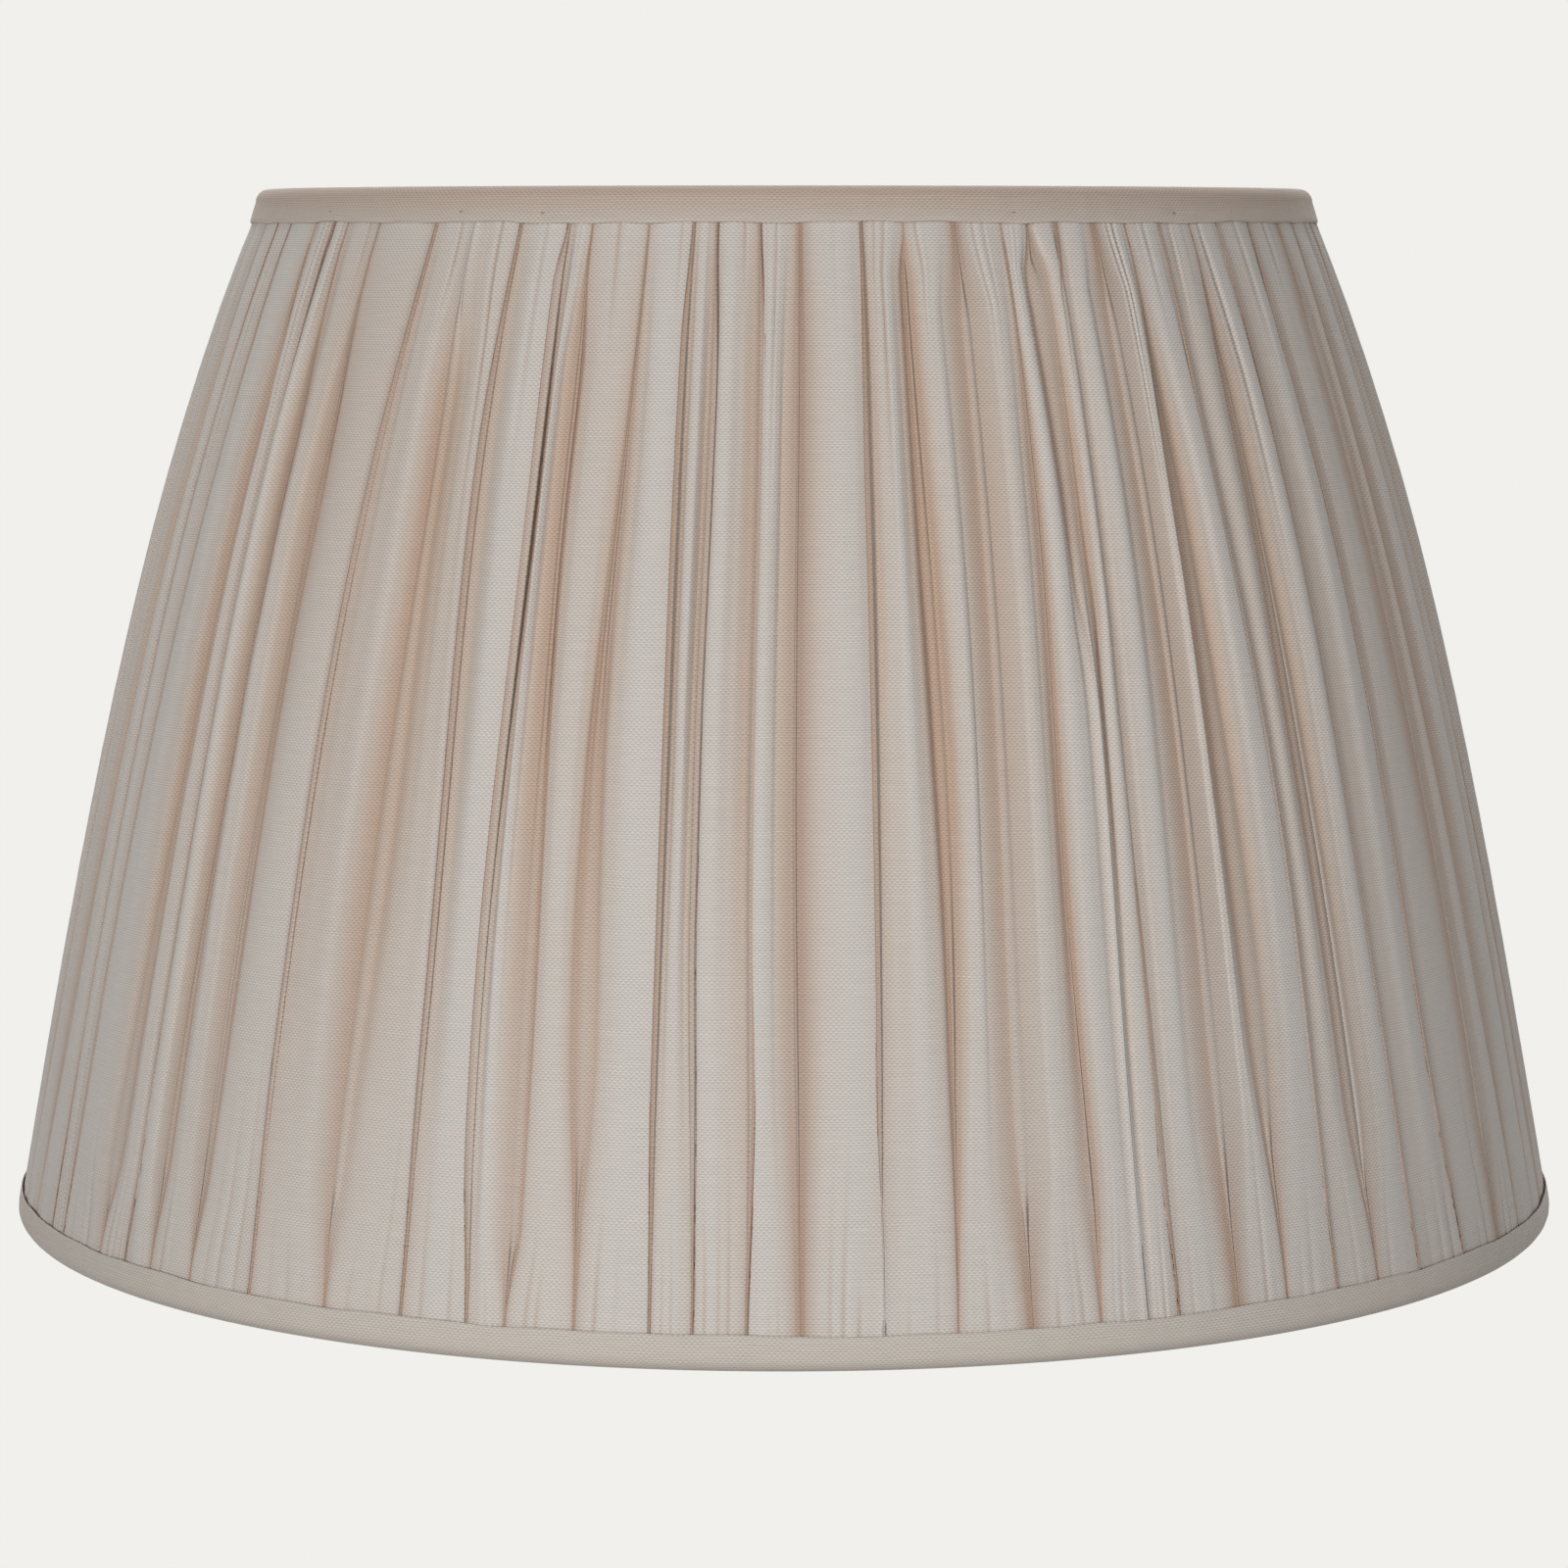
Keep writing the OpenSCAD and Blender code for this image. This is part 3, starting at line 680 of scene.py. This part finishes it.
def zinc(name):
    """Dull zinc plating with rubbed patches."""
    f = Finish(name, Metallic=1.0)
    place = object_point(f)
    rubbed = f.noise(place, 0.9, 4.0)
    f.put(f.shader.inputs["Base Color"], f.mix(rubbed, colour(0.45, 0.45, 0.44), colour(0.68, 0.68, 0.66)))
    f.put(f.shader.inputs["Roughness"], f.math("MULTIPLY_ADD", rubbed, 0.25, 0.25))
    f.bump(f.noise(place, 6.0, 2.0), 0.02, 0.3)
    return f.material


def moulded(name, base):
    """Matt moulded plastic with a fine spark-eroded grain."""
    f = Finish(name, Roughness=0.5)
    place = object_point(f)
    tone = f.math("MULTIPLY_ADD", f.math("SUBTRACT", f.noise(place, 0.15, 3.0), 0.5), 0.06, 1.0)
    f.put(f.shader.inputs["Base Color"], f.mix(1.0, colour(*base), f.join(tone, tone, tone), "MULTIPLY"))
    f.bump(f.noise(place, 7.0, 1.0), 0.03, 0.4)
    return f.material


def tape(name, base):
    """Narrow cotton tape: fine ribs across it and a slightly uneven tone."""
    f = Finish(name, Roughness=0.85, Sheen_Weight=0.1)
    across, up = f.cloth_uv()
    ribs = f.math("MULTIPLY", f.wave(up, 0.55), f.wave(across, 0.8))
    uneven = f.noise(f.join(f.math("MULTIPLY", across, 0.3), f.math("MULTIPLY", up, 0.15)), 1.0, 3.0)
    tone = f.math("MULTIPLY_ADD", f.math("SUBTRACT", uneven, 0.5), 0.15, 1.0)
    tone = f.math("MULTIPLY_ADD", ribs, 0.06, tone)
    f.put(f.shader.inputs["Base Color"], f.mix(1.0, colour(*base), f.join(tone, tone, tone), "MULTIPLY"))
    f.bump(ribs, 0.05, 0.5)
    return f.material


tape_cloth = tape("white_binding_tape", (0.78, 0.75, 0.70))
TAPE_GAP = 2.4

FINISH_OF = {
    "white_wire": powder_coat("white_powder_coat", (0.80, 0.80, 0.78)),
    "rivet_steel": zinc("zinc_plated_steel"),
    "reducer_plastic": moulded("white_moulded_plastic", (0.80, 0.79, 0.76)),
}
HARD_PARTS = {
    "white_wire": ["top_ring", "bottom_ring", "hanger_right", "hanger_left", "carrier_arm_right",
                   "carrier_arm_left", "fitter_ring", *(f"strut_{i}" for i in range(1, 9))],
    "rivet_steel": ["pivot_rivet_right", "pivot_rivet_left"],
    "reducer_plastic": ["reducer_ring"],
}


def dress_hard_parts():
    """Gives each CAD node that stays its finish."""
    for finish, nodes in HARD_PARTS.items():
        for node in nodes:
            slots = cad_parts[node].material_slots
            for slot in slots:
                slot.material = FINISH_OF[finish]


# ------------------------------------------------------------------ wound tapes and neatening strips

TAPE_PITCH, TAPE_SIDES, TAPE_T = 7.0, 20, 0.2
TAPE_IN, TAPE_OUT = 0.04, 0.44
STRIP_T = 0.4
STRUT_COUNT = 8


def wound(path, in_plane, outer, inner):
    """Tape wound on a wire along a path: each turn laps the last, so the radius steps along a helix.
    in_plane holds the sideways direction at each point of the path."""
    along = np.concatenate([[0], np.cumsum(np.linalg.norm(np.diff(path, axis=0), axis=1))])
    tangent = np.gradient(path, axis=0)
    tangent /= np.linalg.norm(tangent, axis=1)[:, None]
    upright = np.cross(tangent, in_plane)
    turn = np.linspace(0, TURN, TAPE_SIDES, endpoint=False)
    step = (along[:, None] / TAPE_PITCH - turn / TURN) % 1.0
    radius = inner + TAPE_T + (outer - inner - TAPE_T) * step
    points = (path[:, None] + radius[..., None] * (
        np.cos(turn)[:, None] * in_plane[:, None] + np.sin(turn)[:, None] * upright[:, None]))
    u = np.broadcast_to(turn * outer, step.shape)
    right = u + TURN * outer / TAPE_SIDES
    return sheet_mesh("winding", points, np.stack([u, right], axis=-1),
                      np.broadcast_to(along[:, None], u.shape), closed=True, flip=True)


def join_meshes(name, meshes):
    """One mesh made of several."""
    work = bmesh.new()
    for mesh in meshes:
        work.from_mesh(mesh)
    joined = bpy.data.meshes.new(name)
    work.to_mesh(joined)
    work.free()
    for mesh in meshes:
        bpy.data.meshes.remove(mesh)
    return joined


def build_tape(node, windings):
    piece = add_piece("wound_" + node, join_meshes(node + "_cloth", windings), tape_cloth, TAPE_T)
    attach(piece, "shade")
    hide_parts(node)


def build_ring_tape(node, radius, height):
    """The tape on a ring, wound in one length between each two struts."""
    gap = TAPE_GAP / radius
    windings = []
    for i in range(STRUT_COUNT):
        start = i * TURN / STRUT_COUNT
        angle = np.linspace(start + gap, start + TURN / STRUT_COUNT - gap, 110)
        outwards = np.stack([np.cos(angle), np.sin(angle), 0 * angle], axis=-1)
        path = outwards * radius + np.array([0, 0, height])
        windings.append(wound(path, outwards, tape_r, wire_r + TAPE_IN))
    build_tape(node, windings)


def build_strut_tape(number):
    """The tape on a strut that cover panels are sewn to."""
    tree = node_tree_of(f"strut_{number}")
    low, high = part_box(f"strut_tape_{number}")
    angle = (number - 1) * TURN / STRUT_COUNT
    z = np.linspace(low[2] / MM + 1.0, high[2] / MM - 1.0, 300)
    r = np.array([(radius_seen(tree, angle, h, True) + radius_seen(tree, angle, h, False)) / 2 for h in z])
    outwards = np.array([math.cos(angle), math.sin(angle), 0])
    sideways = np.array([-math.sin(angle), math.cos(angle), 0])
    path = outwards * r[:, None] + np.array([0, 0, 1]) * z[:, None]
    strut_wire_r = (radius_seen(tree, angle, z[150], False) - r[150]) * 0.99
    node = f"strut_tape_{number}"
    sideways = np.broadcast_to(sideways, path.shape)
    build_tape(node, [wound(path, sideways, strut_wire_r + TAPE_OUT, strut_wire_r + TAPE_IN)])


def build_neatening_strip(node, side):
    """A small folded strip looped round the hanger wire, with its ends tucked against the lining."""
    low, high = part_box(node)
    loop_r = (high[1] - low[1]) / 2 / MM
    wire_x = (low[0] / MM + loop_r) if side > 0 else -(high[0] / MM - loop_r)
    tree = node_tree_of("lining_front")
    near = -4 / top_r if side > 0 else math.pi + 4 / top_r
    z = np.linspace(low[2] / MM + 0.3, high[2] / MM - 0.1, 16)
    lining_x = np.array([radius_seen(tree, near, h, True) or top_r - 2.3 for h in z]) - 0.15
    bend = np.linspace(math.pi / 2, 3 * math.pi / 2, 15)
    rows = []
    for k, h in enumerate(z):
        reach = max(lining_x[k] - wire_x, 0.3)
        out = np.linspace(reach, 0.2, 6)
        soft = 0.05 * math.sin(k * 0.9)
        x = np.concatenate([out, loop_r * np.cos(bend), out[::-1]]) + wire_x
        y = np.concatenate([np.full(6, loop_r), loop_r * np.sin(bend), np.full(6, -loop_r)])
        y = y * (1 + soft * 0.3)
        rows.append(np.stack([x * side, y * side, np.full(len(x), h)], axis=-1))
    points = np.array(rows)
    along = np.concatenate([[0], np.cumsum(np.linalg.norm(np.diff(points[0], axis=0), axis=1))])
    u = np.broadcast_to(along, points.shape[:2])
    right = np.concatenate([u[:, 1:], u[:, -1:]], axis=1)
    up = np.broadcast_to(z[:, None], u.shape)
    mesh = sheet_mesh(node + "_cloth", points, np.stack([u, right], axis=-1), up)
    piece = add_piece("looped_" + node, mesh, lining_cloth, STRIP_T)
    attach(piece, "shade")
    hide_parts(node)


# ------------------------------------------------------------------ stitches

# In metres and radians, as the tree's inputs
STITCH_SIZES = {"Pitch": 0.0042, "Stitch Length": 0.002, "Thread Radius": 0.00016, "Slant": 0.7}
STITCHES_FROM_RING = 2.5


def stitch_tree(material):
    """Small slanting stitches set at an even pitch along a curve, each turned a little by chance."""
    tree = bpy.data.node_groups.new("slip_stitches", "GeometryNodeTree")
    face = tree.interface
    face.new_socket("Seam", in_out="INPUT", socket_type="NodeSocketGeometry")
    for label, value in STITCH_SIZES.items():
        face.new_socket(label, in_out="INPUT", socket_type="NodeSocketFloat").default_value = value
    face.new_socket("Stitches", in_out="OUTPUT", socket_type="NodeSocketGeometry")
    inputs = tree.nodes.new("NodeGroupInput").outputs
    outputs = tree.nodes.new("NodeGroupOutput").inputs

    def node(kind, links=(), **values):
        made = tree.nodes.new(kind)
        for key, value in values.items():
            setattr(made, key, value)
        for socket, source in links:
            if isinstance(source, bpy.types.NodeSocket):
                tree.links.new(source, made.inputs[socket])
            else:
                made.inputs[socket].default_value = source
        return made

    curve = node("GeometryNodeMeshToCurve", [("Mesh", inputs["Seam"])])
    spaced = node("GeometryNodeResampleCurve", [("Curve", curve.outputs[0]), ("Length", inputs["Pitch"])],
                  mode="LENGTH")
    tangent = node("GeometryNodeInputTangent")
    facing = node("FunctionNodeAlignRotationToVector", [("Vector", tangent.outputs[0])], axis="X")
    chance = node("FunctionNodeRandomValue", [("Min", -0.25), ("Max", 0.25), ("Seed", 7)], data_type="FLOAT")
    slant = node("ShaderNodeMath", [(0, inputs["Slant"]), (1, chance.outputs["Value"])], operation="ADD")
    turn = node("ShaderNodeCombineXYZ", [("Y", slant.outputs[0])])
    spin = node("FunctionNodeEulerToRotation", [(0, turn.outputs[0])])
    slanted = node("FunctionNodeRotateRotation", [
        ("Rotation", facing.outputs[0]), ("Rotate By", spin.outputs[0])], rotation_space="LOCAL")
    half = node("ShaderNodeMath", [(0, inputs["Stitch Length"]), (1, 0.5)], operation="MULTIPLY")
    back = node("ShaderNodeMath", [(0, half.outputs[0]), (1, -1.0)], operation="MULTIPLY")
    start = node("ShaderNodeCombineXYZ", [("X", back.outputs[0])])
    end = node("ShaderNodeCombineXYZ", [("X", half.outputs[0])])
    thread = node("GeometryNodeCurvePrimitiveLine", [("Start", start.outputs[0]), ("End", end.outputs[0])])
    section = node("GeometryNodeCurvePrimitiveCircle", [
        ("Resolution", 6), ("Radius", inputs["Thread Radius"])])
    stitch = node("GeometryNodeCurveToMesh", [
        ("Curve", thread.outputs[0]), ("Profile Curve", section.outputs[0]), ("Fill Caps", True)])
    placed = node("GeometryNodeInstanceOnPoints", [
        ("Points", spaced.outputs[0]), ("Instance", stitch.outputs[0]), ("Rotation", slanted.outputs[0])])
    real = node("GeometryNodeRealizeInstances", [(0, placed.outputs[0])])
    done = node("GeometryNodeSetMaterial", [("Geometry", real.outputs[0]), ("Material", material)])
    tree.links.new(done.outputs[0], outputs["Stitches"])
    return tree


def build_stitches(name, tree, radius, height):
    """A row of stitches round the inside of a trim, made a plain mesh."""
    count = 720
    angle = np.linspace(0, TURN, count, endpoint=False)
    points = np.stack([radius * np.cos(angle), radius * np.sin(angle), np.full(count, height)], axis=-1) * MM
    seam = bpy.data.meshes.new(name + "_seam")
    seam.from_pydata(points.tolist(), [(i, (i + 1) % count) for i in range(count)], [])
    source = bpy.data.objects.new(name + "_source", seam)
    bpy.context.scene.collection.objects.link(source)
    modifier = source.modifiers.new("stitches", "NODES")
    modifier.node_group = tree
    sockets = {item.name: item.identifier for item in tree.interface.items_tree
               if item.item_type == "SOCKET"}
    for label, value in STITCH_SIZES.items():
        modifier[sockets[label]] = value
    depsgraph = bpy.context.evaluated_depsgraph_get()
    mesh = bpy.data.meshes.new_from_object(source.evaluated_get(depsgraph))
    bpy.data.objects.remove(source)
    piece = bpy.data.objects.new(name, mesh)
    bpy.context.scene.collection.objects.link(piece)
    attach(piece, "shade")


def thread_finish():
    """Two-ply sewing thread."""
    f = Finish("ivory_thread", Roughness=0.6, Sheen_Weight=0.2)
    place = object_point(f)
    twist = f.noise(place, 3.0, 2.0)
    f.put(f.shader.inputs["Base Color"], f.mix(twist, colour(0.62, 0.58, 0.51), colour(0.80, 0.76, 0.69)))
    f.bump(twist, 0.03, 0.4)
    return f.material


def build_all_stitches():
    """The row that holds each trim's inner leg to the lining."""
    tree = stitch_tree(thread_finish())
    for trim, ring_z, way in (("top_trim", top_z, -1), ("bottom_trim", bottom_z, 1)):
        inner = radius_seen(node_tree_of(trim), FRONT, ring_z + way * 2.0, True)
        build_stitches(trim + "_stitches", tree, inner + 0.1, ring_z + way * STITCHES_FROM_RING)


# ------------------------------------------------------------------ floor, light and camera

BACKDROP = (0.879, 0.871, 0.839)


def build_stage():
    """A plain pale round floor that curves up into a backdrop on every side."""
    flat, curve, height, sides = 4.5, 1.5, 5.0, 64
    rise = np.linspace(0, math.pi / 2, 13)
    profile = [(flat + curve * math.sin(a), curve * (1 - math.cos(a))) for a in rise]
    profile.append((flat + curve, height))
    turns = np.linspace(0, TURN, sides, endpoint=False)
    corners = [(r * math.cos(a), r * math.sin(a), z) for r, z in profile for a in turns]
    faces = [tuple(range(sides))]
    for k in range(len(profile) - 1):
        for i in range(sides):
            j = (i + 1) % sides
            faces.append((k * sides + i, k * sides + j, (k + 1) * sides + j, (k + 1) * sides + i))
    mesh = bpy.data.meshes.new("floor")
    mesh.from_pydata(corners, [], faces)
    for polygon in mesh.polygons:
        polygon.use_smooth = True
    floor = bpy.data.objects.new("floor", mesh)
    bpy.context.scene.collection.objects.link(floor)
    f = Finish("pale_floor", Roughness=0.9)
    f.shader.inputs["Base Color"].default_value = colour(0.0, 0.0, 0.0)
    f.shader.inputs["Emission Color"].default_value = colour(*BACKDROP)
    f.shader.inputs["Emission Strength"].default_value = 1.0
    f.shader.inputs["Specular IOR Level"].default_value = 0.0
    mesh.materials.append(f.material)
    floor.visible_diffuse = False
    floor.visible_shadow = False


def add_light(name, place, size, power, aim=(0, 0, 0.15), tint=(1, 1, 1)):
    """A soft square light looking at the shade."""
    light = bpy.data.lights.new(name, "AREA")
    light.shape = "SQUARE"
    light.size = size
    light.energy = power
    light.color = tint
    lamp = bpy.data.objects.new(name, light)
    lamp.location = place
    lamp.rotation_euler = (Vector(aim) - Vector(place)).to_track_quat("-Z", "Y").to_euler()
    lamp.visible_camera = False
    bpy.context.scene.collection.objects.link(lamp)


def build_light():
    world = bpy.data.worlds.new("studio")
    world.use_nodes = True
    tree = world.node_tree
    back = tree.nodes["Background"]
    back.inputs["Color"].default_value = colour(0.87, 0.85, 0.85)
    way = tree.nodes.new("ShaderNodeTexCoord")
    split = tree.nodes.new("ShaderNodeSeparateXYZ")
    fall = tree.nodes.new("ShaderNodeMapRange")
    for socket, value in (("From Min", -1), ("From Max", 1), ("To Min", 0.22), ("To Max", 0.18)):
        fall.inputs[socket].default_value = value
    tree.links.new(way.outputs["Generated"], split.inputs[0])
    tree.links.new(split.outputs["Z"], fall.inputs["Value"])
    tree.links.new(fall.outputs[0], back.inputs["Strength"])
    bpy.context.scene.world = world
    add_light("key", (-1.1, -2.25, 0.45), 0.7, 30.5, tint=(1.0, 0.99, 0.975))
    add_light("fill", (1.25, -2.15, 0.35), 1.4, 16)
    add_light("behind", (0.0, 2.6, 0.5), 1.6, 24)
    add_light("above", (0.0, 1.1, 1.9), 1.2, 26)
    bpy.context.scene.view_settings.view_transform = "Standard"


def build_camera():
    data = bpy.data.cameras.new("camera")
    data.lens = 109.4
    data.sensor_width = 36
    camera = bpy.data.objects.new("camera", data)
    camera.location = (0, -1.423, 0.2918)
    camera.rotation_euler = (math.pi / 2 - 0.1164, 0, 0)
    bpy.context.scene.collection.objects.link(camera)
    bpy.context.scene.camera = camera


# ------------------------------------------------------------------ putting the shade together

build_camera()
build_light()
build_stage()
dress_hard_parts()
build_cover()
build_trim("top_trim", True, 3)
build_trim("bottom_trim", False, 4)
build_lining("lining_front", math.pi, 5)
build_lining("lining_back", 0.0, 6)
build_ring_tape("top_ring_tape", top_r, top_z)
build_ring_tape("bottom_ring_tape", bottom_r, bottom_z)
for strut in (2, 4, 6, 8):
    build_strut_tape(strut)
build_neatening_strip("neatening_strip_right", 1)
build_neatening_strip("neatening_strip_left", -1)
build_all_stitches()
